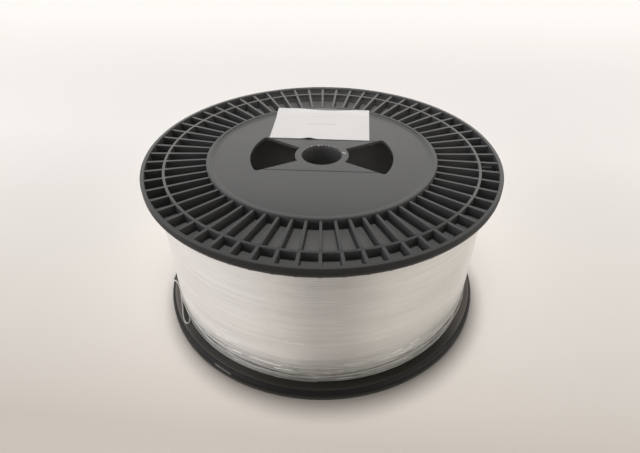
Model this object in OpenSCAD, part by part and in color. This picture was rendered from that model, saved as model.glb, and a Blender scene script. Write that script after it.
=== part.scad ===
// Large filament reel: two ribbed flanges on a hollow barrel, a hub insert with the spindle
// bore in each flange, a centre tube between the hubs, and the wound filament with its loose
// end anchored in the lower rim. The reel stands on its lower flange, with its axis along Z
// and the grip windows on the X axis. The origin is the centre of the lower outer face.

/* [Reel] */
// Diameter of the two flanges
flange_d = 355; // [345:1:365]
// Overall width, from outer face to outer face
reel_h = 167; // [150:1:200]
// Outer diameter of the hollow barrel
barrel_d = 224; // [218:1:226]
// Wall of the barrel
barrel_wall = 3.8; // [3:0.2:5]
// Diameter of the spindle bore
bore_d = 41; // [36:1:42]

/* [Flange] */
// Radial ribs on each flange
rib_count = 60; // [48:4:72]
// Thickness of a rib beside the disc
rib_t = 2.3; // [1.8:0.1:3]
// Thickness of a rib beside the rim
rib_t_rim = 2.8; // [2:0.1:3.2]
// Depth of the pockets beside the disc
pocket_depth = 10.7; // [9.5:0.1:11]
// Depth of the pockets beside the rim
pocket_depth_rim = 9.4; // [8.5:0.1:9.5]
// Thickness of the pocket floors
floor_t = 2.3; // [2:0.1:3]
// Thickness of the outer rim
rim_t = 3.7; // [3:0.1:5]
// Radius of the rim's rounded inner corner
rim_round = 6; // [4:0.5:7]
// Radius of the thin ring that crosses the ribs
mid_ring_r = 156.1; // [145:0.1:160]
// Depth of the disc's face below the lip
disc_recess = 2.2; // [1.5:0.1:3]
// Width of the slope from the disc up to the lip
lip_slope = 3.2; // [2:0.1:4]
// Thickness of the disc
disc_t = 3; // [2.5:0.1:4]

/* [Hub] */
// Outer radius of the grip windows
window_r = 72.4; // [68:0.1:76]
// Radius of the hub ring between bore and windows
hub_r = 27.3; // [27:0.1:30]
// Half the angle of a grip window
window_half = 30.1; // [26:0.1:30.2]
// Half the width of the hub insert
insert_half_w = 32.4; // [32:0.1:33.4]
// Width of the bevel at the mouth of the bore
bore_lead = 0.3; // [0.2:0.1:1]

/* [Filament] */
// Diameter of the filament
filament_d = 1.75; // [1.75, 1.85]
// Diameter of the full winding
winding_d = 332; // [300:1:334]
// Turns shown on the outside of the winding
turns = 23.5; // [10.5:1:23.5]

/* [Label] */
// Length of the blank paper label
label_l = 107; // [80:1:110]
// Height of the blank paper label
label_w = 72.6; // [70:0.1:74]

/* [Hidden] */
$fn = 180;

eps = 0.5;                 // overrun of a cutter past the face that it opens
flange_r = flange_d / 2;
rim_in = flange_r - rim_t;

// barrel seat under the disc: the barrel stands in a groove between lip wall and locating ring
barrel_r = barrel_d / 2;
barrel_in = barrel_r - barrel_wall;
seat_gap = 0.2;            // room on each side of the barrel's wall
lip_wall_in = barrel_r + seat_gap;
lip_r = lip_wall_in + 3.3;
lip_in = lip_r - 3.9;
lip_blend = 0.6;           // eases the slope into the disc and the lip
locating_out = barrel_in - seat_gap;
locating_in = locating_out - 2.5;
locating_h = 5.8;
disc_under = disc_recess + disc_t;

// ribs and rings, as depths below the flange's outer face
rib_drop = 1.1;
ring_drop = 1;
ring_t = 2.4;
edge_bevel = 0.5;
rib_foot = 0.3;            // how far a rib's foot stands in the pocket floor
face_in_lip = pocket_depth + floor_t;
face_in_rim = pocket_depth_rim + floor_t;

// anchor for the filament's end: a pad on one rib and a hole through the rim beside it
anchor_rib = -180 / rib_count;
anchor_step = 5.6;         // angle of the hole, past the window axis
anchor_hole_r = 2.4;
anchor_hole_drop = 5;
pad_l = 12;
pad_w = 4.3;
pad_drop = 4;

// hub insert: a plate in the disc's opening, with a collar that holds the centre tube
seam = 0.4;                // gap all round the insert
window_round = 3.5;        // radius of the windows' outer corners
insert_half_l = insert_half_w / tan(window_half) - 1;  // to the blunt tips beside the windows
ledge_w = 3;
ledge_t = 2.2;
ledge_l = 100;
collar_end = 30;           // depth of the collar's end below the outer face
tube_stop = 12;            // depth of the shoulder that stops the centre tube
tube_r = bore_d / 2 + 2.9;
tube_gap = 0.1;
collar_r = tube_r + tube_gap + 2.8;
gusset_r = 28.8;
gusset_end = 20;
gusset_t = 2.4;

// winding: a plain core with the outer turns on it, narrower at both ends
tube_sides = 6;
rings_per_turn = 24;
winding_r = winding_d / 2;
core_r = winding_r - 3;
core_end_r = core_r - 2;
core_taper = 8;
core_gap = 0.15;
turn_r_above_core = 2.4;   // so that the middle of each straight chord clears the core
first_turn_z = reel_h - 16.8;
last_turn_z = 16;
turns_end_angle = 212;
turn_bend_r = 3.5;

// label: flat on the disc, then up and over the lip
label_t = 0.3;
label_x = -4.9;
label_y = 34.1;
label_turn = -0.75;
label_rise_at = 45;        // from the label's lower edge to where it leaves the disc
label_rise_l = 13;

// route of the loose end, as [angle, distance inside the rim's face, height]: off the winding,
// round a hairpin, along the lower flange, over its rim and into the anchor hole
tail_route = [
    [212, 13.4, 16], [212.6, 13.4, 16], [213.4, 12.9, 15.5], [214.2, 12.1, 14.7],
    [214.9, 11, 13.9], [215.5, 9.8, 13.3], [215.9, 8.5, 13], [215.9, 7.2, 12.9],
    [215.5, 6.2, 12.8], [214.8, 5.6, 12.8], [213.9, 5.5, 12.8], [212.6, 5.8, 12.9],
    [211.1, 6.4, 12.9], [209.6, 7, 12.9], [208.1, 7.5, 12.9], [206.6, 7.9, 12.9],
    [205.1, 8.2, 12.9], [203.6, 8.5, 12.9], [202.1, 8.7, 13], [200.6, 8.8, 13],
    [199.1, 8.8, 13], [197.6, 8.7, 13], [196.2, 8.4, 13], [194.9, 7.8, 12.9],
    [193.7, 6.9, 12.9], [192.7, 5.7, 12.9], [191.9, 4.3, 12.8], [191.3, 2.9, 12.4],
    [190.8, 1.6, 11.6], [190.3, 0.4, 10.5], [189.8, -0.6, 9.2], [189.3, -1.3, 7.9],
    [188.7, -1.9, 6.7], [188.1, -2.4, 5.9], [187.5, -2.7, 5.4], [186.9, -2.5, 5.1],
    [186.4, -1.8, 5], [186.1, -0.8, 5], [185.9, 0.5, 5], [185.7, 2, 5],
    [185.5, 3.6, 5], [185.3, 5.2, 5]];
tail_sides = 8;

function unit(v) = v / norm(v);
function polar(a, r, z) = [r * cos(a), r * sin(a), z];

// depth of the flange's inner, sloping face below its outer face
function face_in(r) = face_in_lip
    - (face_in_lip - face_in_rim) * (r - lip_wall_in) / (rim_in - lip_wall_in);
function pocket_floor(r) = face_in(r) - floor_t;

// radius of the winding's core at a height: full, but drawn in near both flanges
function core_radius(z) =
    let (above = min(z, reel_h - z) - face_in(core_end_r) - core_gap)
    core_end_r + (core_r - core_end_r) * min(1, max(0, above) / core_taper);

// a tube swept along points, as one closed mesh of triangles
function directions(p) = [for (i = [0 : len(p) - 1])
    unit(p[min(i + 1, len(p) - 1)] - p[max(i - 1, 0)])];
function sideways(v, t) = unit(v - (v * t) * t);
function carried(t, first) = [for (i = 0, u = sideways(first, t[0]); i < len(t);
    i = i + 1, u = i < len(t) ? sideways(u, t[i]) : u) u];
function tube_points(p, d, sides, first) =
    let (t = directions(p), u = carried(t, first))
    [for (i = [0 : len(p) - 1], k = [0 : sides - 1])
        p[i] + d / 2 * (cos(k * 360 / sides) * u[i] + sin(k * 360 / sides) * cross(t[i], u[i]))];
function tube_faces(n, sides) = concat(
    [for (k = [1 : sides - 2]) [0, k, k + 1]],
    [for (i = [0 : n - 2], k = [0 : sides - 1], half = [0, 1])
        let (a = i * sides + k, b = i * sides + (k + 1) % sides)
        half == 0 ? [a, a + sides, b] : [b, a + sides, b + sides]],
    [for (k = [1 : sides - 2]) let (last = (n - 1) * sides) [last, last + k + 1, last + k]]);

// the outer turns' centre line: down out of the upper flange, then round and down the winding
turn_pitch = (first_turn_z - last_turn_z) / turns;
turn_steps = turns * rings_per_turn;
turns_start_angle = turns_end_angle - 360 * turns;
function turn_point(i) =
    let (z = first_turn_z - turn_pitch * i / rings_per_turn)
    polar(turns_start_angle + 360 * i / rings_per_turn, core_radius(z) + turn_r_above_core, z);
turn_start = turn_point(0);
start_way = polar(turns_start_angle + 90, 1, 0);
lead_top = reel_h - face_in(norm([turn_start.x, turn_start.y])) - 0.05;
lead_in = concat(
    [[turn_start.x, turn_start.y, lead_top] - turn_bend_r * start_way,
     [turn_start.x, turn_start.y, lead_top - filament_d] - turn_bend_r * start_way],
    [for (a = [30, 60]) [turn_start.x, turn_start.y, first_turn_z]
        + turn_bend_r * ((1 - sin(a)) * [0, 0, 1] - cos(a) * start_way)
        + (lead_top - filament_d - first_turn_z - turn_bend_r) * [0, 0, (1 - sin(a))]]);
end_way = polar(turns_end_angle + 90, 1, 0);
turn_line = concat(lead_in, [for (i = [0 : turn_steps]) turn_point(i)],
    [turn_point(turn_steps) + filament_d * end_way]);

// least distance between the turns, measured on the centre line's points
least_gap = min([for (i = [len(lead_in) : turn_steps], j = [12 : 36])
    if (i + j < len(turn_line)) norm(turn_line[i + j] - turn_line[i])]) - filament_d;
echo(least_gap_between_turns = least_gap);

tail_start = turn_line[len(turn_line) - 1];
tail_line = concat([tail_start], [for (i = [1 : len(tail_route) - 1])
    polar(tail_route[i][0], flange_r - tail_route[i][1], tail_route[i][2])]);

// ---- flange, drawn with its outer face up at z = 0 ----

module flange_profile() {
    round_steps = 8;
    round_r = flange_r - rim_round;
    polygon(concat(
        [[0, -disc_recess], [lip_in - lip_slope - lip_blend, -disc_recess],
         [lip_in - lip_slope + lip_blend, -disc_recess + lip_blend / 2],
         [lip_in - lip_blend, -lip_blend / 2], [lip_in + lip_blend, 0],
         [lip_r - edge_bevel, 0], [lip_r, -edge_bevel],
         [lip_r, -pocket_floor(lip_r)],
         [mid_ring_r - ring_t / 2, -pocket_floor(mid_ring_r - ring_t / 2)],
         [mid_ring_r - ring_t / 2, -ring_drop], [mid_ring_r + ring_t / 2, -ring_drop],
         [mid_ring_r + ring_t / 2, -pocket_floor(mid_ring_r + ring_t / 2)],
         [rim_in, -pocket_floor(rim_in)], [rim_in, -edge_bevel], [rim_in + edge_bevel, 0],
         [flange_r - edge_bevel, 0], [flange_r, -edge_bevel]],
        [for (i = [0 : round_steps]) let (a = -90 * i / round_steps)
            [round_r + rim_round * cos(a),
             -face_in(round_r) + rim_round + rim_round * sin(a)]],
        [[lip_wall_in, -face_in(lip_wall_in)], [lip_wall_in, -disc_under],
         [locating_out, -disc_under], [locating_out, -disc_under - locating_h],
         [locating_in, -disc_under - locating_h], [locating_in, -disc_under],
         [0, -disc_under]]));
}

module ribs() {
    from = lip_r - 1.5;
    to = rim_in + rim_t / 3;
    foot = pocket_depth + rib_foot;
    for (i = [0 : rib_count - 1])
        rotate(anchor_rib + i * 360 / rib_count)
            translate([0, 0, -foot])
                linear_extrude(foot - rib_drop)
                    polygon([[from, -rib_t / 2], [to, -rib_t_rim / 2],
                             [to, rib_t_rim / 2], [from, rib_t / 2]]);
}

module anchor_pad() {
    foot = pocket_depth_rim + rib_foot;
    rotate(anchor_rib)
        translate([mid_ring_r, -rib_t / 2 - pad_w, -foot])
            cube([pad_l, pad_w + rib_t / 2, foot - pad_drop]);
}

module anchor_hole() {
    rotate(-anchor_step)
        translate([rim_in - eps, 0, -anchor_hole_drop])
            rotate([0, 90, 0]) cylinder(r = anchor_hole_r, h = rim_t + 2 * eps);
}

module disc_opening() {
    translate([0, 0, -disc_under - eps])
        linear_extrude(disc_t + 2 * eps) {
            square([2 * insert_half_l, 2 * insert_half_w], center = true);
            windows_2d();
        }
}

// shelves under the opening's two straight edges, which carry the hub insert
module ledges() {
    for (side = [-1, 1])
        translate([-ledge_l / 2, side > 0 ? insert_half_w - ledge_w : -insert_half_w - 2 * ledge_w,
                   -disc_under - ledge_t])
            cube([ledge_l, 3 * ledge_w, ledge_t]);
}

module flange() {
    difference() {
        union() {
            rotate_extrude() flange_profile();
            ribs();
            anchor_pad();
        }
        disc_opening();
        anchor_hole();
    }
    ledges();
}

// ---- hub insert, drawn with its outer face up at z = -disc_recess ----

// the two grip windows: sectors of a ring, with rounded outer corners
module windows_2d() {
    window_2d();
    rotate(180) window_2d();
}

module window_2d() {
    bend = window_half - asin(window_round / (window_r - window_round));
    arc_steps = 20;
    corner_steps = 5;
    function corner(s, i) = let (a = bend + (window_half + 90 - bend) * i / corner_steps)
        [(window_r - window_round) * cos(bend) + window_round * cos(a),
         s * ((window_r - window_round) * sin(bend) + window_round * sin(a))];
    polygon(concat(
        [for (i = [0 : arc_steps]) let (a = window_half * (1 - 2 * i / arc_steps))
            hub_r * [cos(a), sin(a)]],
        [for (i = [corner_steps : -1 : 0]) corner(-1, i)],
        [for (i = [1 : arc_steps - 1]) let (a = bend * (2 * i / arc_steps - 1))
            window_r * [cos(a), sin(a)]],
        [for (i = [0 : corner_steps]) corner(1, i)]));
}

module gussets() {
    for (a = [90, 270])
        rotate([90, 0, a]) translate([0, 0, -gusset_t / 2])
            linear_extrude(gusset_t)
                polygon([[collar_r - 1, -disc_under + 0.2], [gusset_r, -disc_under + 0.2],
                         [collar_r - 1, -gusset_end]]);
}

module hub_insert() {
    difference() {
        union() {
            translate([0, 0, -disc_under])
                linear_extrude(disc_t)
                    difference() {
                        square([2 * (insert_half_l - seam), 2 * (insert_half_w - seam)],
                               center = true);
                        windows_2d();
                    }
            translate([0, 0, -collar_end]) cylinder(r = collar_r, h = collar_end - disc_under + 0.2);
            gussets();
        }
        translate([0, 0, -collar_end - eps]) cylinder(d = bore_d, h = collar_end);
        translate([0, 0, -disc_recess - bore_lead])
            cylinder(r1 = bore_d / 2, r2 = bore_d / 2 + bore_lead + eps, h = bore_lead + eps);
        translate([0, 0, -collar_end - eps])
            cylinder(r = tube_r + tube_gap, h = collar_end + eps - tube_stop);
    }
}

// ---- nodes ----

module lower_flange() {
    color("#2b2b2c") rotate([0, 180, 0]) flange();
}

module upper_flange() {
    color("#38383a") translate([0, 0, reel_h]) flange();
}

module barrel() {
    color("#303031")
        translate([0, 0, disc_under])
            difference() {
                cylinder(r = barrel_r, h = reel_h - 2 * disc_under);
                translate([0, 0, -eps])
                    cylinder(r = barrel_in, h = reel_h - 2 * disc_under + 2 * eps);
            }
}

module centre_tube() {
    color("#242425")
        translate([0, 0, tube_stop])
            difference() {
                cylinder(r = tube_r, h = reel_h - 2 * tube_stop);
                translate([0, 0, -eps])
                    cylinder(d = bore_d, h = reel_h - 2 * tube_stop + 2 * eps);
            }
}

module lower_hub_insert() {
    color("#2b2b2c") rotate([0, 180, 0]) hub_insert();
}

module upper_hub_insert() {
    color("#38383a") translate([0, 0, reel_h]) hub_insert();
}

module filament_winding() {
    foot = face_in(barrel_r) + core_gap;
    shoulder = face_in(core_end_r) + core_gap;
    color("#d9d8ce")
        rotate_extrude()
            polygon([[barrel_r, foot], [core_end_r, shoulder], [core_r, shoulder + core_taper],
                     [core_r, reel_h - shoulder - core_taper], [core_end_r, reel_h - shoulder],
                     [barrel_r, reel_h - foot]]);
}

module filament_outer_turns() {
    color("#e6e5dd")
        polyhedron(tube_points(turn_line, filament_d, tube_sides, start_way),
                   tube_faces(len(turn_line), tube_sides), convexity = 20);
}

module filament_tail() {
    color("#e6e5dd")
        polyhedron(tube_points(tail_line, filament_d, tail_sides, [0, 0, 1]),
                   tube_faces(len(tail_line), tail_sides), convexity = 10);
}

module label() {
    rise = disc_recess;
    slope = label_rise_at + label_rise_l;
    color("#f2f2ee")
        translate([label_x, label_y, reel_h - disc_recess])
            rotate(label_turn)
                translate([-label_l / 2, 0, 0])
                    rotate([90, 0, 90])
                        linear_extrude(label_l)
                            polygon([[0, 0], [label_rise_at, 0], [slope, rise], [label_w, rise],
                                     [label_w, rise + label_t], [slope - 0.1, rise + label_t],
                                     [label_rise_at - 0.1, label_t], [0, label_t]]);
}

lower_flange();
upper_flange();
barrel();
centre_tube();
lower_hub_insert();
upper_hub_insert();
filament_winding();
filament_outer_turns();
filament_tail();
label();
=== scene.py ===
import math

import bpy
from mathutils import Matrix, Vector, noise


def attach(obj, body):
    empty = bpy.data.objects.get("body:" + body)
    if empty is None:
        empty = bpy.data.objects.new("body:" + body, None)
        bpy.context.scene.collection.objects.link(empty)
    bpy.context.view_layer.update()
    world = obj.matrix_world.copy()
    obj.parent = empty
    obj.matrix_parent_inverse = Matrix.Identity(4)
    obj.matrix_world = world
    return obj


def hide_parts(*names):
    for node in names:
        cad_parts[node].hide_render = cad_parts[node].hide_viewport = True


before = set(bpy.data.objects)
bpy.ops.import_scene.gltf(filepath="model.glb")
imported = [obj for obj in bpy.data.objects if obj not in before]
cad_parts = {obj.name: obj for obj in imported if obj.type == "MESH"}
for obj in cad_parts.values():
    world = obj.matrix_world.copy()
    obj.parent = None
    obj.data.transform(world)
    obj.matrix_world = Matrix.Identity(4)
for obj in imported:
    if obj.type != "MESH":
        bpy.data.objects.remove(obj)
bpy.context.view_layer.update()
scene = bpy.context.scene
scene.view_settings.view_transform = "Standard"
mm = 0.001
black = (0.0, 0.0, 0.0)


def clearSelection():
    if bpy.context.object and bpy.context.object.mode != "OBJECT":
        bpy.ops.object.mode_set(mode="OBJECT")
    bpy.ops.object.select_all(action="DESELECT")


def onReel(angle, radius, height):  # degrees and millimetres on the reel, to metres
    turned = math.radians(angle)
    return Vector((radius * math.cos(turned), radius * math.sin(turned), height)) * mm


class Wire:
    # a value in a node tree: arithmetic on it adds Math nodes
    def __init__(self, shade, socket):
        self.shade = shade
        self.socket = socket

    def math(self, operation, *others):
        return self.shade.add("ShaderNodeMath", {"operation": operation}, self, *others)

    def __add__(self, other):
        return self.math("ADD", other)

    def __radd__(self, other):
        return self.math("ADD", other)

    def __sub__(self, other):
        return self.math("SUBTRACT", other)

    def __rsub__(self, other):
        return self.shade.add("ShaderNodeMath", {"operation": "SUBTRACT"}, other, self)

    def __mul__(self, other):
        return self.math("MULTIPLY", other)

    def __rmul__(self, other):
        return self.math("MULTIPLY", other)

    def __neg__(self):
        return self.math("MULTIPLY", -1.0)

    def __truediv__(self, other):
        return self.math("DIVIDE", other)

    def size(self):  # without its sign
        return self.math("ABSOLUTE")

    def most(self, other):
        return self.math("MAXIMUM", other)

    def least(self, other):
        return self.math("MINIMUM", other)

    def ramp(self, low, high):
        return self.shade.add(
            "ShaderNodeMapRange", {"interpolation_type": "SMOOTHSTEP"}, self, low, high)

    def over(self, limit, soft):  # 0 up to the limit and 1 from limit + soft on, in millimetres
        return (self - limit * mm).ramp(0, soft * mm)

    def under(self, limit, soft):  # 1 up to limit - soft and 0 from the limit on
        return (limit * mm - self).ramp(0, soft * mm)

    def part(self, name):  # one output of a node that has several
        return Wire(self.shade, self.socket.node.outputs[name])


class Shade:
    # one material and its node tree
    def __init__(self, name):
        self.material = bpy.data.materials.new(name)
        self.material.use_nodes = True
        self.tree = self.material.node_tree
        self.surface = self.tree.nodes["Principled BSDF"]
        self.place = self.add("ShaderNodeTexCoord", {}).part("Object")
        self.x = self.add("ShaderNodeSeparateXYZ", {}, self.place)  # in metres
        self.y = self.x.part("Y")
        self.z = self.x.part("Z")

    def add(self, kind, settings, *values, **named):
        node = self.tree.nodes.new(kind)
        for key, value in settings.items():
            setattr(node, key, value)
        for socket, value in list(zip(node.inputs, values)) + [
            (node.inputs[key], value) for key, value in named.items()
        ]:
            if isinstance(value, Wire):
                self.tree.links.new(value.socket, socket)
            elif value is not None:
                socket.default_value = value
        return Wire(self, next(s for s in node.outputs if s.enabled))

    def fromAxis(self):  # distance from the reel's axis
        return (self.x * self.x + self.y * self.y).math("POWER", 0.5)

    def normal(self):
        return self.add("ShaderNodeTexCoord", {}).part("Normal")

    def facing(self, axis):  # 1 where the surface looks along the axis, -1 where it looks back
        return self.add("ShaderNodeSeparateXYZ", {}, self.normal()).part(axis)

    def vector(self, x, y, z):
        return self.add("ShaderNodeCombineXYZ", {}, x, y, z)

    def noise(self, scale, detail=2.0, roughness=0.5, at=None):
        return self.add("ShaderNodeTexNoise", {}, at or self.place,
                        Scale=scale, Detail=detail, Roughness=roughness)

    def blend(self, amount, first, second, kind="RGBA"):
        node = self.add("ShaderNodeMix", {"data_type": kind}, Factor=amount).socket.node
        ends = [s for s in node.inputs if s.type == kind and s.name in "AB"]
        for socket, value in zip(ends, (first, second)):
            if isinstance(value, Wire):
                self.tree.links.new(value.socket, socket)
            else:
                socket.default_value = (*value, 1.0) if kind == "RGBA" else value
        return Wire(self, next(s for s in node.outputs if s.type == kind))

    def bump(self, height, strength, distance):
        return self.add("ShaderNodeBump", {}, Height=height, Strength=strength, Distance=distance)

    def set(self, **inputs):
        for key, value in inputs.items():
            socket = self.surface.inputs[key.replace("_", " ")]
            if isinstance(value, Wire):
                self.tree.links.new(value.socket, socket)
            else:
                socket.default_value = value
        return self.material


def paint(piece, material):
    piece.data.materials.clear()
    piece.data.materials.append(material)


cameraSet = {
    "place": (0.02607, -0.43883, 0.4011),
    "turn": (50.17, 0.0, 3.4),
    "lens": 27.07,
    "sensor": 36.0,
    "shift": (-0.00285, 0.0416),
}
clearSelection()
bpy.ops.object.camera_add(
    location=cameraSet["place"], rotation=[math.radians(a) for a in cameraSet["turn"]])
camera = bpy.context.object
camera.name = "camera"
camera.data.sensor_width = cameraSet["sensor"]
camera.data.lens = cameraSet["lens"]
camera.data.shift_x, camera.data.shift_y = cameraSet["shift"]
camera.data.clip_start = 0.01
scene.camera = camera
print("camera ready")

# loose end of the filament
tailSet = {
    "diameter": 1.75,
    "sides": 12,
    "flangeRadius": 177.5,
    "start": (212, 164.37, 16),   # angle, radius and height, in degrees and millimetres
    # angle, distance inside the rim's face and height
    "route": [
        (212, 13.4, 16), (212.6, 13.4, 16), (213.4, 12.9, 15.5), (214.2, 12.1, 14.7),
        (214.9, 11, 13.9), (215.5, 9.8, 13.3), (215.9, 8.5, 13), (215.9, 7.2, 12.9),
        (215.5, 6.2, 12.8), (214.8, 5.7, 12.8), (213.9, 5.7, 12.8), (212.6, 6.1, 12.9),
        (211.1, 6.9, 12.9), (209.6, 7.8, 12.9), (208.1, 8.6, 12.9), (206.6, 9.2, 12.9),
        (205.1, 9.6, 12.9), (203.6, 9.8, 12.9), (202.1, 9.9, 13), (200.6, 9.9, 13),
        (199.1, 9.9, 13), (197.6, 9.7, 13), (196.2, 9.2, 13), (194.9, 8.4, 12.9),
        (193.7, 7.3, 12.9), (192.7, 6, 12.9), (191.9, 4.5, 12.8), (191.3, 3, 12.4),
        (190.8, 1.6, 11.6), (190.3, 0.5, 10.5), (189.8, -0.3, 9.2), (189.3, -0.8, 7.9),
        (188.7, -1.0, 6.8), (188.1, -1.05, 6), (187.5, -1.1, 5.5), (186.9, -1.05, 5.2),
        (186.4, -0.8, 5), (186.1, -0.2, 5), (185.9, 0.8, 5), (185.7, 2, 5),
        (185.5, 3.6, 5), (185.3, 5.2, 5)],
}


def strand(name, points, diameter, sides):
    curve = bpy.data.curves.new(name, "CURVE")
    curve.dimensions = "3D"
    curve.bevel_depth = diameter / 2
    curve.bevel_resolution = (sides - 4) // 2
    curve.use_fill_caps = True
    spline = curve.splines.new("POLY")
    spline.points.add(len(points) - 1)
    for spot, point in zip(spline.points, points):
        spot.co = (*point, 1.0)
    piece = bpy.data.objects.new(name, curve)
    bpy.context.collection.objects.link(piece)
    return piece


def asMesh(curve):
    clearSelection()
    curve.select_set(True)
    bpy.context.view_layer.objects.active = curve
    bpy.ops.object.convert(target="MESH")
    bpy.ops.object.shade_smooth()
    return bpy.context.object


endAngle, endRadius, endHeight = tailSet["start"]
endTurned = math.radians(endAngle)
alongLastTurn = Vector((-math.sin(endTurned), math.cos(endTurned), 0))
tailStart = onReel(*tailSet["start"]) + alongLastTurn * tailSet["diameter"] * mm
tailLine = [tailStart] + [
    onReel(angle, tailSet["flangeRadius"] - inset, height)
    for angle, inset, height in tailSet["route"][1:]]
tailLength = sum((b - a).length for a, b in zip(tailLine, tailLine[1:]))
tail = asMesh(strand("filamentTail", tailLine, tailSet["diameter"] * mm, tailSet["sides"]))
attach(tail, "root")
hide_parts("filament_tail")
print("loose end ready, length in mm:", round(tailLength / mm, 1))

floorSet = {
    "near": (0.415, 0.375, 0.322),
    "far": (0.905, 0.88, 0.855),
    "farthest": (0.97, 0.95, 0.925),
    "size": 12.0,
    "paling": (0.25, 0.6),     # how far before the axis it starts to pale, and over what length
    "horizon": (0.35, 1.6),
    "distance": (0.6, 1.3),
    "glow": 0.155,             # given off far behind the reel
    "gloss": 0.2,
}
clearSelection()
bpy.ops.mesh.primitive_plane_add(size=floorSet["size"], location=(0, 0, 0))
floor = bpy.context.object
floor.name = "floor"
floorShade = Shade("paleFloor")
palingFrom, palingOver = floorSet["paling"]
away = (floorShade.y + floorShade.x * 0.05 + palingFrom) / palingOver
away = away.most(0.05).least(1.0).math("POWER", 0.5)
horizon = floorShade.y.ramp(*floorSet["horizon"])
distance = floorShade.y.ramp(*floorSet["distance"])
floorTone = floorShade.blend(away, floorSet["near"], floorSet["far"])
paint(floor, floorShade.set(
    Base_Color=floorShade.blend(horizon, floorTone, floorSet["farthest"]),
    Emission_Color=floorShade.blend(
        horizon * 0.45 + distance * 0.55, black, floorSet["farthest"]),
    Emission_Strength=floorSet["glow"], Roughness=0.6,
    Specular_IOR_Level=floorSet["gloss"]))

worldSet = {
    "tint": (1.0, 0.985, 0.965, 1.0),
    "light": 0.10,
    "seen": 0.85,
    "gloss": (0.12, 1.05),      # what gloss reflects: a darker room before the reel
    "darker": (-0.93, -0.2),    # directions between which that room brightens
}
world = bpy.data.worlds.new("studio")
scene.world = world
world.use_nodes = True
nodes = world.node_tree.nodes
connect = world.node_tree.links.new


def glowing(node, strength=None):
    node.inputs["Color"].default_value = worldSet["tint"]
    if strength is not None:
        node.inputs["Strength"].default_value = strength
    return node


lighting = glowing(nodes["Background"], worldSet["light"])
seen = glowing(nodes.new("ShaderNodeBackground"), worldSet["seen"])
glossy = glowing(nodes.new("ShaderNodeBackground"))
towards = nodes.new("ShaderNodeTexCoord")
split = nodes.new("ShaderNodeSeparateXYZ")
connect(towards.outputs["Generated"], split.inputs[0])
grade = nodes.new("ShaderNodeMapRange")
grade.interpolation_type = "SMOOTHSTEP"
for end, value in zip(
        ("From Min", "From Max", "To Min", "To Max"), worldSet["darker"] + worldSet["gloss"]):
    grade.inputs[end].default_value = value
connect(split.outputs["Y"], grade.inputs["Value"])
connect(grade.outputs[0], glossy.inputs["Strength"])
rays = nodes.new("ShaderNodeLightPath")
seenDirectly = nodes.new("ShaderNodeMath")
seenDirectly.operation = "MAXIMUM"
connect(rays.outputs["Is Camera Ray"], seenDirectly.inputs[0])
connect(rays.outputs["Is Transmission Ray"], seenDirectly.inputs[1])
choose = nodes.new("ShaderNodeMixShader")
connect(seenDirectly.outputs[0], choose.inputs[0])
connect(lighting.outputs[0], choose.inputs[1])
connect(seen.outputs[0], choose.inputs[2])
reflect = nodes.new("ShaderNodeMixShader")
connect(rays.outputs["Is Glossy Ray"], reflect.inputs[0])
connect(choose.outputs[0], reflect.inputs[1])
connect(glossy.outputs[0], reflect.inputs[2])
connect(reflect.outputs[0], nodes["World Output"].inputs["Surface"])

lampSet = [  # name, place, aims at, width, height, power, spread, colour
    ("left", (-1.5, -0.82, 0.55), (0, 0, 0.08), 1.9, 1.0, 17.6, 180, (1.0, 0.962, 0.998)),
    ("right", (1.62, -0.62, 0.55), (0, 0, 0.08), 1.7, 1.0, 11.2, 180, (1.0, 0.945, 0.91)),
    ("above", (0.0, -0.11, 0.75), (0, 0.11, 0.165), 0.25, 0.25, 0.16, 45, (1.0, 0.985, 0.965)),
]
overheadSet = {
    "place": (0, 0.3, 2),
    "tilt": -4.8,
    "roll": -1.3,
    "energy": 2.17,
    "softness": 9,
    "colour": (1.0, 0.985, 0.965),
}
clearSelection()
bpy.ops.object.light_add(
    type="SUN", location=overheadSet["place"],
    rotation=(math.radians(overheadSet["tilt"]), math.radians(overheadSet["roll"]), 0))
overhead = bpy.context.object
overhead.name = "overhead"
overhead.data.energy = overheadSet["energy"]
overhead.data.angle = math.radians(overheadSet["softness"])
overhead.data.color = overheadSet["colour"]
for name, place, aim, width, tall, power, spread, colour in lampSet:
    clearSelection()
    bpy.ops.object.light_add(type="AREA", location=place)
    lamp = bpy.context.object
    lamp.name = name
    lamp.data.shape = "RECTANGLE"
    lamp.data.size, lamp.data.size_y = width, tall
    lamp.data.energy = power
    lamp.data.spread = math.radians(spread)
    lamp.data.color = colour
    lamp.rotation_euler = (Vector(aim) - Vector(place)).to_track_quat("-Z", "Y").to_euler()
print("studio ready")

# moulded black plastic
plasticSet = {
    "rimFace": (0.016, 0.0157, 0.0155),
    "walls": (0.09, 0.089, 0.087),         # inside the pockets
    "edges": (0.095, 0.094, 0.093),        # cut edges of the grip windows and the bore
    "innerFront": (0.038, 0.0382, 0.030),  # inner face of the lower flange
    "innerRear": (0.102, 0.099, 0.089),
    "innerSides": (0.27, 0.246, 0.222),
    "rimFoot": (0.063, 0.063, 0.053),      # next to the floor
    "ringTop": (0.073, 0.072, 0.071),
    "tops": (0.029, 0.029, 0.0295),
    "floors": (0.088, 0.0875, 0.087),
    "drum": (0.52, 0.515, 0.497),          # barrel, seen through the grip windows
    "tube": (0.085, 0.084, 0.083),
    # painted highlights on the lower rim and round the bore
    "paintedHighlight": (0.42, 0.41, 0.38),
    "roughness": 0.34,
    "gloss": 0.30,
    "lowGloss": 0.12,
    "sheen": 0.56,                         # clear coat on the surfaces that look up
}
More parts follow.
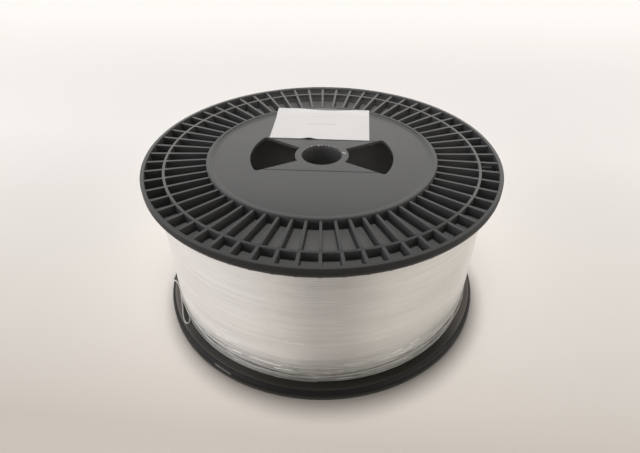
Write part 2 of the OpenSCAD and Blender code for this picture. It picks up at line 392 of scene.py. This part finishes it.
# how strongly tones depend on their place on the reel. They imitate the light of one room seen from
# one side and are not dirt or wear. 1 for rearPockets and 0 for the others switch these off, and
# ringTop, rimFoot and the three inner tones above go by place too.
placeSet = {
    "rearPockets": 2.1,        # times paler
    "ribSides": (0.14, 0.26),  # darker everywhere, and more on the left
    "frontTops": 0.35,
    "rimFront": 0.11,
    "rimRear": 0.5,
    "lipRear": 0.27,
    "lipEdge": 0.42,
    "lipFront": 0.85,
    "lipInside": 0.09,
    "lipFoot": 0.78,
    "outerEdge": 0.6,
    "ringFront": 0.55,
    "ringRear": 0.35,
    "discRear": 0.3,
}
reelSet = {   # radii and heights in millimetres, for the limits of the tones
    "flange": 177.5,
    "rimInside": 173.8,
    "ring": 154.9,
    "ringHalf": 2.4,
    "lip": (112.2, 115.7),
    "pocketsFrom": 112.0,
    "bore": 20.5,
    "windows": 80,             # no grip window reaches farther out
    "insertHalf": (56.0, 32.6),
    "rimFrom": 170,
    "rearPocketsFrom": 130,
    "ribsFrom": 110,
    "discEdge": (104, 110.7),
    "upperFaces": 163.5,       # the disc, the lip, the ring and the rim's top lie above this
    "topsFrom": 160.5,         # a little lower, so that rounded edges belong to the tops
    "floorsBelow": 161,        # pocket floors of the upper flange
    "openingsFrom": 160,
    "innerFace": 11.1,         # of the lower flange
    "rimFootBelow": 6,
    "halfway": 100,            # between the two flanges
}
flecks = [   # painted highlights near the bore: right and rear of the axis, radius, in millimetres, and strength
    (21.9, 5.7, 1.7, 0.75), (23.5, 3.7, 1.4, 0.8), (-4.6, 20.4, 1.5, 0.5),
]


class Plastic(Shade):
    # moulded plastic: fine grain, and a cloudy and a finer pattern in its tone and gloss
    def __init__(self, name):
        super().__init__(name)
        self.grain = self.bump(self.noise(900, 3.0, 0.6), 0.25, 0.00012)
        self.cloud = self.noise(22, 4.0, 0.6)
        self.film = self.noise(120, 3.0, 0.65)

    def dullness(self):
        return plasticSet["roughness"] + self.cloud * 0.08 + self.film * 0.06


class FlangePlastic(Plastic):
    # with the places on the reel that several of its tones share
    def __init__(self, name):
        super().__init__(name)
        self.radius = self.fromAxis()
        self.lookingUp = self.facing("Z").ramp(0.3, 0.9)
        self.left = (-self.x).ramp(0, 0.05)
        self.raised = self.z.over(reelSet["upperFaces"], 0.4)
        self.rear = (self.y - 0.015 + 0.02 * self.left).ramp(0, 0.05)
        self.ring = (reelSet["ringHalf"] * mm - (self.radius - reelSet["ring"] * mm).size()).ramp(
            0, 0.3 * mm) * self.raised


def pocketTone(plastic):  # inside walls, paler in the rearmost pockets and darker on rib sides
    rearmost = (plastic.y / plastic.radius).ramp(0.85, 0.97)
    rearmost = rearmost * plastic.radius.over(reelSet["rearPocketsFrom"], 2) * plastic.z.under(164, 3)
    tone = plastic.blend(
        rearmost, plasticSet["walls"], [c * placeSet["rearPockets"] for c in plasticSet["walls"]])
    everywhere, moreLeft = placeSet["ribSides"]
    ribSide = (-plastic.facing("Y")).ramp(0.5, 0.9) * plastic.y.size().under(130, 50)
    ribSide = ribSide * plastic.radius.over(reelSet["ribsFrom"], 2) * (everywhere + moreLeft * plastic.left)
    return plastic.blend(ribSide, tone, black)


def innerFaceTone(plastic):  # lower flange's inner face: dark in front, paler behind and aside
    rear = (plastic.y - plastic.x * 0.25).ramp(-0.173, -0.12)
    tone = plastic.blend(rear, plasticSet["innerFront"], plasticSet["innerRear"])
    side = (plastic.y - plastic.x * 0.05).ramp(-0.118, -0.073) * (1.0 - 0.38 * plastic.left)
    return plastic.blend(side, tone, plasticSet["innerSides"])


def wallTone(plastic):  # everything that doesn't look up
    z, radius = plastic.z, plastic.radius
    innerFace = z.over(reelSet["innerFace"], 0.3) * z.under(reelSet["halfway"], 1)
    pocket = radius.under(reelSet["rimInside"] + 0.3, 0.3) * (1.0 - innerFace)
    opening = radius.under(reelSet["windows"], 1) * z.over(reelSet["openingsFrom"], 0.6)
    rimFoot = z.under(reelSet["rimFootBelow"], 4) * radius.over(reelSet["flange"] - 3, 0.5)
    tone = plastic.blend(pocket, plasticSet["rimFace"], pocketTone(plastic))
    tone = plastic.blend(opening, tone, plasticSet["edges"])
    tone = plastic.blend(rimFoot, tone, plasticSet["rimFoot"])
    return plastic.blend(innerFace, tone, innerFaceTone(plastic))


def darkened(plastic):  # how far the top surfaces are darkened by their place
    x, y, radius, raised, rear = plastic.x, plastic.y, plastic.radius, plastic.raised, plastic.rear
    inside, outside = reelSet["lip"]
    lip = radius.over(inside, 0.4) * radius.under(outside, 0.3) * raised
    lipEdge = radius.over(inside + 1.4, 0.8) * lip * y.size().over(20, 50)
    lipFoot = radius.over(inside - 1.6, 0.4) * radius.under(inside + 0.2, 0.4) * raised
    rim = radius.over(reelSet["rimFrom"], 2)
    dark = (-0.05 - y).ramp(0, 0.09) * (placeSet["frontTops"] + rim * placeSet["rimFront"])
    dark = dark.most(y.over(155, 20) * rim * placeSet["rimRear"])
    dark = dark.most(lip * rear * placeSet["lipRear"]).most(lipEdge * placeSet["lipEdge"])
    dark = dark.most(radius.over(inside + 2, 0.6) * lip * (x * 0.3 - y - 0.03).ramp(
        0, 0.05) * placeSet["lipFront"])
    dark = dark.most(radius.over(inside - 3, 1.2) * radius.under(inside + 0.8, 1.2) * raised * (
        1.0 - rear) * placeSet["lipInside"])
    dark = dark.most(radius.over(reelSet["flange"] - 1.8, 1.2) * (x * 0.25 - y - 0.06).ramp(
        0, 0.08) * placeSet["outerEdge"])
    dark = dark.most(plastic.ring * (x * 0.2 - y - 0.09).ramp(0, 0.05) * placeSet["ringFront"])
    dark = dark.most(lipFoot * rear * placeSet["lipFoot"])
    return dark * plastic.z.over(reelSet["topsFrom"], 0.4)


def topTone(plastic, dark):  # what looks up: top surfaces and pocket floors
    radius, rear = plastic.radius, plastic.rear
    deep = plastic.z.under(reelSet["floorsBelow"], 1) * radius.over(reelSet["pocketsFrom"], 1)
    tone = plastic.blend(deep * plastic.lookingUp, plasticSet["tops"], plasticSet["floors"])
    sideways = plastic.y.size().under(120, 60).most(rear * placeSet["ringRear"])
    tone = plastic.blend(plastic.ring * sideways, tone, plasticSet["ringTop"])
    edgeFrom, edgeTo = reelSet["discEdge"]
    discEdge = radius.over(edgeFrom, 2) * radius.under(edgeTo, 0.4) * plastic.raised * rear
    tone = plastic.blend(discEdge * placeSet["discRear"], tone, plasticSet["ringTop"])
    return plastic.blend(dark, tone, black)


def insertEdge(plastic):  # dark line along the front and the rear edge of the hub insert
    halfLength, halfWidth = reelSet["insertHalf"]
    line = 1.2 * mm - (plastic.y.size() - halfWidth * mm).size()
    line = line.ramp(0, 0.8 * mm) * plastic.x.size().under(halfLength, 0.5) * plastic.raised
    return (line * (0.85 + 0.6 * plastic.film)).least(1.0)


def rimHighlight(plastic):  # painted highlight line, pale and slanting, on the left front of the lower rim
    line = 0.9 * mm - (plastic.z - 7.8 * mm + (plastic.x + 0.09) * 0.05).size()
    line = line.ramp(0, 0.6 * mm) * (10.5 * mm - (plastic.x + 0.0895).size()).ramp(0, 3 * mm)
    return line * (-plastic.y).ramp(0, 0.01) * plastic.radius.over(reelSet["flange"] - 3, 0.5)


def boreHighlights(plastic):  # painted highlights: glints round the bore's rear edge, and a few flecks near it
    x, y, z = plastic.x, plastic.y, plastic.z
    glints = plastic.noise(430, 2.0, 0.6).ramp(0.48, 0.6)
    glints = glints * plastic.radius.under(reelSet["bore"] + 1.1, 0.4) * z.over(161.2, 2)
    glints = glints * (y + x.size() * 0.35).ramp(0.006, 0.016) * 0.42
    for right, back, size, strength in flecks:
        acrossX = x - right * mm
        acrossY = y - back * mm
        apart = (acrossX * acrossX + acrossY * acrossY).math("POWER", 0.5)
        glints = glints.most(apart.under(size, 0.9) * z.over(162.5, 1) * strength)
    return glints


def lipFootEvened(plastic):  # where the disc runs up to the lip and is shaded as if level
    slope = plastic.radius.over(107.4, 0.6) * (
        111.8 * mm - plastic.rear * 0.0009 - plastic.radius).ramp(0, 0.6 * mm) * plastic.raised
    return slope * plastic.lookingUp * (0.7 + 0.3 * (plastic.y + 0.07).ramp(0, 0.06))


def flangePlastic(name, gloss):
    plastic = FlangePlastic(name)
    dark = darkened(plastic)
    edge = insertEdge(plastic)
    # painted shade: what looks up, lies below the upper disc and within 100 mm of the axis takes the rim
    # face's dark tone
    recessShade = plastic.z.under(reelSet["upperFaces"], 0.4) * plastic.radius.under(100, 1)
    top = plastic.lookingUp * plastic.z.over(140, 10) * (
        0.86 + 0.18 * plastic.cloud + 0.1 * plastic.film)
    colour = plastic.blend(top, wallTone(plastic), topTone(plastic, dark))
    colour = plastic.blend(recessShade.most(edge) * plastic.lookingUp, colour, plasticSet["rimFace"])
    colour = plastic.blend(rimHighlight(plastic) * plastic.film, colour, plasticSet["paintedHighlight"])
    colour = plastic.blend(boreHighlights(plastic), colour, plasticSet["paintedHighlight"])
    level = plastic.blend(lipFootEvened(plastic), plastic.grain, (0.0, 0.0, 1.0), "VECTOR")
    coat = plasticSet["sheen"] * plastic.lookingUp * (1.0 - dark) * (1.0 - edge)
    coat = coat * plastic.z.over(reelSet["floorsBelow"], 1)
    return plastic.set(
        Base_Color=colour, Roughness=plastic.dullness() + dark * 0.4, Normal=level,
        Specular_IOR_Level=gloss, Coat_Weight=coat, Coat_Roughness=0.3)


def innerPlastic(name, tone):  # barrel and centre tube
    plastic = Plastic(name)
    return plastic.set(
        Base_Color=plastic.blend(plastic.cloud, tone, [c * 1.2 for c in tone]),
        Roughness=plastic.dullness(), Specular_IOR_Level=plasticSet["gloss"],
        Normal=plastic.grain)


upperPlastic = flangePlastic("upperPlastic", plasticSet["gloss"])
lowerPlastic = flangePlastic("lowerPlastic", plasticSet["lowGloss"])
for node, plastic in (
        ("lower_flange", lowerPlastic), ("lower_hub_insert", lowerPlastic),
        ("upper_flange", upperPlastic), ("upper_hub_insert", upperPlastic),
        ("barrel", innerPlastic("drumPlastic", plasticSet["drum"])),
        ("centre_tube", innerPlastic("tubePlastic", plasticSet["tube"]))):
    paint(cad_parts[node], plastic)
print("reel plastic ready")

# wound filament
filamentSet = {
    "clear": (0.80, 0.79, 0.735),
    "milky": (0.92, 0.905, 0.855),
    "deep": (0.20, 0.205, 0.185),   # grey of the low turns: painted shade, with the black flange showing through the clear strands
    # painted shade between the loose low turns
    "gap": (0.12, 0.12, 0.11),
    "side": (0.98, 0.965, 0.925),
    "glint": (0.93, 0.92, 0.90),
    "roughness": 0.26,
    "gloss": 0.85,
    "deepBelow": 48,                # millimetres above the floor
    # the rest depends on the place on the reel, as placeSet does for the plastic
    "front": 1.475,                 # the reel's front lies at minus this angle, in radians
    "frontDarker": (0.22, 0.07),    # everywhere, and more at the upper and lower end
    "sidePaler": (0.45, 0.45),      # on both sides, and more on the right
    "rightGrey": (0.22, 0.25),
    "loneGrey": 0.36,               # the loose end over black plastic
    "softened": 0.45,               # how far the shading is turned towards a smooth drum's
}


class Filament(Shade):
    # cloudy strands, streaked along the turns
    def __init__(self, name):
        super().__init__(name)
        self.angle = self.y.math("ARCTAN2", self.x)
        self.streaks = self.noise(
            1.0, 3.0, 0.55, at=self.vector(self.angle * 2.2, 0.0, self.z * 260))
        self.bands = self.noise(
            1.0, 2.0, 0.5, at=self.vector(self.angle * 0.8, 3.0, self.z * 45))
        cloudy = (self.streaks * 0.6 + self.bands * 0.4).ramp(0.3, 0.7)
        self.tone = self.blend(cloudy, filamentSet["clear"], filamentSet["milky"])


def lowShade(filament):  # how grey the turns are painted, as shade: more towards the lower flange and low on the right
    x, z = filament.x, filament.z
    below, farRight = filamentSet["rightGrey"]
    deepBelow = filamentSet["deepBelow"] * mm
    grey = (deepBelow - z - (filament.streaks - 0.5) * 0.014) / (deepBelow - 0.012)
    grey = grey.most(0.0) + below * x.ramp(-0.03, 0.04) * z.under(70, 20) * z.over(34, 8)
    return (grey + farRight * x.ramp(0.07, 0.12) * z.under(54, 12)).least(1.0)


def woundFilament(name):
    filament = Filament(name)
    x, z, angle = filament.x, filament.z, filament.angle
    fromFront = (angle + filamentSet["front"]).size()
    paler, palerRight = filamentSet["sidePaler"]
    darker, darkerEnds = filamentSet["frontDarker"]
    # painted reflections and shade: paler at the sides, darker at the front and more so at the ends
    sides = (fromFront - 0.74).ramp(0, 0.25) * (paler + palerRight * x.ramp(-0.05, 0.05))
    tone = filament.blend(sides, filament.tone, filamentSet["side"])
    ends = z.over(105, 40) + z.under(45, 20)
    front = (1.0 - fromFront.ramp(0.04, 0.3)) * (darker + darkerEnds * ends)
    tone = filament.blend(front, tone, black)
    lines = filament.noise(1.0, 2.0, 0.6, at=filament.vector(
        angle * 7.0, 7.0, z * 620 + angle * 6.0 + filament.bands * 3))
    loose = z.under(48, 22)
    tone = filament.blend(lowShade(filament), tone, filamentSet["deep"])
    # painted shade in dark lines and painted highlights in pale lines, among the loose low turns
    tone = filament.blend((0.5 - lines).ramp(0.02, 0.16) * loose * 0.45, tone, filamentSet["gap"])
    tone = filament.blend((lines - 0.56).ramp(0.0, 0.12) * loose * 0.4, tone, filamentSet["milky"])
    reach = filament.fromAxis()
    outwards = filament.vector(x / reach, filament.y / reach, 0.0)
    return filament.set(
        Base_Color=tone, Roughness=filamentSet["roughness"],
        Specular_IOR_Level=filamentSet["gloss"],
        Normal=filament.blend(
            z.over(30, 30) * filamentSet["softened"], filament.normal(), outwards, "VECTOR"))


def looseFilament(name):
    filament = Filament(name)
    return filament.set(
        Base_Color=filament.blend(filamentSet["loneGrey"], filament.tone, filamentSet["deep"]),
        Roughness=filamentSet["roughness"], Specular_IOR_Level=filamentSet["gloss"])


filamentMaterial = woundFilament("filament")
loneFilament = looseFilament("filamentAlone")
glintFilament = Shade("filamentGlint").set(
    Base_Color=(*filamentSet["glint"], 1.0), Roughness=0.16, Specular_IOR_Level=1.0)
tail.data.materials.append(loneFilament)

windSet = {   # millimetres
    "diameter": 1.75,
    "sides": 6,
    "top": 153.4,
    "bottom": endHeight,       # where the loose end leaves
    "lowest": 12.15,
    "radius": 165.1,
    "pitch": 1.765,
    "stepsPerTurn": 96,
    "drawnIn": (0.25, 0.64),   # how much smaller the winding is at its lower and upper end
    "drawnOver": (11, 5),
    "looseBelow": 42.0,        # height under which the turns lie less evenly
    "looseOver": 18,
    "even": 0.10,              # how much of the straying the even turns above still have
    "stray": (1.9, 1.5),       # out and up, by the noise in wander
    "settled": 0.4,            # last part of a turn, in which it comes to the loose end
    # the turns below that, down to the flange
    "lowStray": (0.7, 1.3),
    "lowSettled": (38, 0.8),   # steps at their start, and height at their end, without straying up
    "tucked": (1.5, 6),        # depth at their start, and steps until they are out
}


def drawnIn(height):  # how far the turns at a height lie inside the full winding
    lower, upper = windSet["drawnIn"]
    low = max(0.0, 1 - (height - windSet["lowest"]) / windSet["drawnOver"][0])
    high = max(0.0, 1 - (windSet["top"] - height) / windSet["drawnOver"][1])
    return lower * low * low + upper * high * high


def wander(angle, left):  # how a turn strays up and out: partly with its neighbours, partly alone
    turned = math.radians(angle)
    shared = Vector((1.6 * math.cos(turned), 1.6 * math.sin(turned), 0.3 * left))
    up = 0.65 * noise.noise(shared) + 0.36 * noise.noise(Vector((left * 7.3, 4, 0)))
    out = 0.45 * noise.noise(shared + Vector((5, 0, 9)))
    return up, out + 0.7 * noise.noise(Vector((left * 2.9, 13, 0)))


def windingLine():
    turns = (windSet["top"] - windSet["bottom"]) / windSet["pitch"]
    total = int(turns * windSet["stepsPerTurn"])
    strayOut, strayUp = windSet["stray"]
    points = []
    for i in range(total + 1):
        left = (total - i) / windSet["stepsPerTurn"]  # turns still to go
        angle = endAngle - 360 * left
        height = windSet["bottom"] + left * windSet["pitch"]
        low = max(0.0, min(1.0, (windSet["looseBelow"] - height) / windSet["looseOver"]))
        loose = windSet["even"] + (1 - windSet["even"]) * low * low
        up, out = wander(angle, left)
        settle = min(1.0, left / windSet["settled"])
        radius = windSet["radius"] - drawnIn(height) + settle * strayOut * loose * out
        points.append(onReel(angle, radius + (1 - settle) * (endRadius - radius),
                             height + settle * strayUp * loose * up))
    points.append(tailStart)
    return points


def lowLine():  # the turns below the place where the loose end leaves
    steps = windSet["stepsPerTurn"]
    strayOut, strayUp = windSet["lowStray"]
    firstSteps, lastHeight = windSet["lowSettled"]
    depth, tuckSteps = windSet["tucked"]
    points = []
    for i in range(int((windSet["bottom"] - windSet["lowest"]) / windSet["pitch"] * steps)):
        angle = endAngle + 360 * i / steps
        height = windSet["bottom"] - windSet["pitch"] * i / steps
        up, out = wander(angle, -i / steps)
        up *= min(1.0, i / firstSteps, (height - windSet["lowest"]) / lastHeight)
        radius = windSet["radius"] - drawnIn(height) - depth * max(0.0, 1 - i / tuckSteps)
        points.append(onReel(angle, radius + strayOut * out, height + strayUp * up))
    return points


winding = asMesh(strand("filamentTurns", windingLine(), windSet["diameter"] * mm, windSet["sides"]))
paint(winding, filamentMaterial)
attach(winding, "root")
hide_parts("filament_outer_turns")
print("outer turns ready, triangles:", len(winding.data.polygons) * 2)

lowTurns = asMesh(strand("lowTurns", lowLine(), windSet["diameter"] * mm, windSet["sides"]))
paint(lowTurns, filamentMaterial)
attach(lowTurns, "root")

# the layer under them, ribbed by its own turns: a closed section spun round the axis
coreSet = {   # millimetres
    "barrel": 112.0,
    "radius": 163.0,
    "end": (158.0, 161.2),   # radii of its two flat ends' outer parts
    "heights": (12.2, 12.3, 13.2, 153.8, 154.6),
    "gapDepth": 1.1,         # how far it stays back behind the loose low turns
    "gapOver": 16,
    "beyond": (-0.4, -0.5),  # where the ribs begin and end, against the winding's own ends
    "rib": [(-0.75, 0), (0.05, 0.45), (0.3, 0.9), (0.05, 1.34)],   # out and up
    "steps": 180,
}


def coreSection():
    edge, bevel, foot, head, top = coreSet["heights"]
    flat, outer = coreSet["end"]
    section = [(coreSet["barrel"], foot), (flat, bevel), (outer, edge)]
    first, last = coreSet["beyond"]
    height = windSet["lowest"] + first
    while height < windSet["top"] + last:
        back = max(0.0, 1 - (height - windSet["lowest"]) / coreSet["gapOver"])
        radius = coreSet["radius"] - drawnIn(height) - coreSet["gapDepth"] * back
        section += [(radius + out, height + up) for out, up in coreSet["rib"]]
        height += windSet["pitch"]
    return section + [(outer, top), (flat, top), (coreSet["barrel"], head)]


section = coreSection()
clearSelection()
bpy.ops.mesh.primitive_circle_add(vertices=len(section), radius=0.01)
inner = bpy.context.object
inner.name = "innerTurns"
for corner, (radius, height) in zip(inner.data.vertices, section):
    corner.co = Vector((radius * mm, 0, height * mm))
bpy.ops.object.mode_set(mode="EDIT")
bpy.ops.mesh.select_all(action="SELECT")
bpy.ops.mesh.spin(steps=coreSet["steps"], angle=2 * math.pi, center=(0, 0, 0), axis=(0, 0, 1))
bpy.ops.mesh.select_all(action="SELECT")
bpy.ops.mesh.remove_doubles(threshold=0.00002)
bpy.ops.mesh.normals_make_consistent(inside=False)
bpy.ops.object.mode_set(mode="OBJECT")
bpy.ops.object.shade_smooth()
paint(inner, filamentMaterial)
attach(inner, "root")
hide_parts("filament_winding")
print("inner layer ready, triangles:", len(inner.data.polygons) * 2)

# stretches of filament that cross over the other turns near the lower flange
crossingSet = {
    "sides": 8,
    "tuckedBy": 1.9,        # how far inside the winding both ends start
    "tuckOver": 0.18,       # of the length
    "out": (3.1, 0.3),      # from there, and how much that differs between them
    "glintOut": 2.0,
    "sag": 0.008,
    # first angle, last angle, height at each end
    "long": [
        (196, 262, 31, 19), (214, 300, 26, 17.5), (205, 246, 22, 35), (232, 318, 19, 25),
        (262, 338, 22, 29), (286, 352, 31, 20), (300, 364, 19, 27), (318, 372, 24, 18),
        (20, 120, 20, 30), (100, 196, 27, 18)],
    "bright": [
        (231, 247, 40, 47), (236, 246, 54, 56.5), (261, 269, 66.5, 67.5), (247, 262, 33, 31),
        (256, 266, 26, 28.5), (238, 247, 29, 32), (296, 302, 37, 39.5), (299, 306, 32, 35.5),
        (303, 309, 40, 42), (40, 58, 36, 42), (130, 146, 44, 38)],
}


def eased(part):
    return part * part * (3 - 2 * part)


def crossingLine(number, first, last, low, high, lift):
    count = int((last - first) / 2) + 8
    points = []
    for k in range(count + 1):
        along = k / count
        tuck = eased(min(1.0, along / crossingSet["tuckOver"], (1 - along) / crossingSet["tuckOver"]))
        sag = crossingSet["sag"] * (last - first) * math.sin(along * 5 + number)
        height = low + (high - low) * along + sag
        radius = windSet["radius"] - drawnIn(height) - crossingSet["tuckedBy"] + tuck * lift
        points.append(onReel(first + (last - first) * along, radius, height))
    return points


for i, (first, last, low, high) in enumerate(crossingSet["long"] + crossingSet["bright"]):
    isLong = i < len(crossingSet["long"])
    out, differing = crossingSet["out"]
    lift = out + differing * math.sin(i * 2.1) if isLong else crossingSet["glintOut"]
    line = crossingLine(i, first, last, low, high, lift)
    over = asMesh(strand(
        "crossingTurn%02d" % (i + 1), line, windSet["diameter"] * mm, crossingSet["sides"]))
    paint(over, filamentMaterial if isLong else glintFilament)
    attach(over, "root")
print("crossing turns ready")

labelSet = {   # millimetres and degrees
    "size": (107.0, 72.6),
    "squares": (72, 50),
    "centreOfEdge": (-4.9, 34.1),
    "turn": -0.75,
    "thickness": 0.2,
    "disc": 164.8,
    "gap": 0.03,
    "lip": 2.2,
    "rise": (103.6, 111.3),      # radii between which the paper climbs onto the lip
    "buckle": (-11, 5.5, 5, 1.25),   # on the near edge: place, width, depth and height
    "curl": (14, 0.13, 0.03),        # along the far edge: depth, ripple and height
    "rules": ((56.0, 12.0, 0.22), (36.5, 15.5, 0.42)),   # height, half length, depth of grey
    "ruleHalf": 0.7,
    "rulesLeft": 5.0,
    "paper": (0.505, 0.495, 0.49),
    "ink": (0.05, 0.05, 0.055),
}


def labelHeight(x, y, u, v):
    first, last = labelSet["rise"]
    climb = eased(max(0.0, min(1.0, (math.hypot(x, y) - first) / (last - first))))
    place, wide, deep, tall = labelSet["buckle"]
    buckle = tall * math.exp(-((u - place) / wide) ** 2) * math.exp(-v / deep)
    depth, ripple, rise = labelSet["curl"]
    curl = rise * math.exp(-((v - labelSet["size"][1]) / depth) ** 2) * (1 + math.sin(u * ripple))
    return labelSet["lip"] * climb + buckle + curl


length, width = labelSet["size"]
leftOf, nearEdge = labelSet["centreOfEdge"]
turn = math.radians(labelSet["turn"])
clearSelection()
bpy.ops.mesh.primitive_grid_add(
    x_subdivisions=labelSet["squares"][0], y_subdivisions=labelSet["squares"][1], size=1)
label = bpy.context.object
label.name = "blankLabel"
for corner in label.data.vertices:
    u, v = corner.co.x * length, (corner.co.y + 0.5) * width
    x = leftOf + u * math.cos(turn) - v * math.sin(turn)
    y = nearEdge + u * math.sin(turn) + v * math.cos(turn)
    height = labelSet["disc"] + labelSet["gap"] + labelHeight(x, y, u, v)
    corner.co = Vector((x, y, height)) * mm
thick = label.modifiers.new("thickness", "SOLIDIFY")
thick.thickness = labelSet["thickness"] * mm
thick.offset = 1.0
bpy.ops.object.modifier_apply(modifier="thickness")
bpy.ops.object.shade_smooth_by_angle(angle=math.radians(35))


def labelPaper(name):
    paper = Shade(name)
    across = paper.x * math.cos(turn) + paper.y * math.sin(turn)
    along = paper.y * math.cos(turn) - paper.x * math.sin(turn)

    def rule(place, half, depth):
        line = labelSet["ruleHalf"] * mm - (along - (nearEdge + place) * mm).size()
        return line.ramp(0.0, 0.3 * mm) * (
            half * mm - (across + labelSet["rulesLeft"] * mm).size()).ramp(0, 0.5 * mm) * depth

    upperRule, lowerRule = labelSet["rules"]
    fibre = paper.noise(1400, 3.0, 0.6)
    mottle = paper.noise(60, 2.0, 0.5)
    sheet = paper.blend(mottle, labelSet["paper"], [c * 1.04 for c in labelSet["paper"]])
    return paper.set(
        Base_Color=paper.blend(rule(*upperRule) + rule(*lowerRule), sheet, labelSet["ink"]),
        Roughness=0.72 + fibre * 0.1,
        Normal=paper.bump(fibre, 0.2, 0.00008))


paint(label, labelPaper("blankPaper"))
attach(label, "root")
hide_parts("label")
print("label ready")
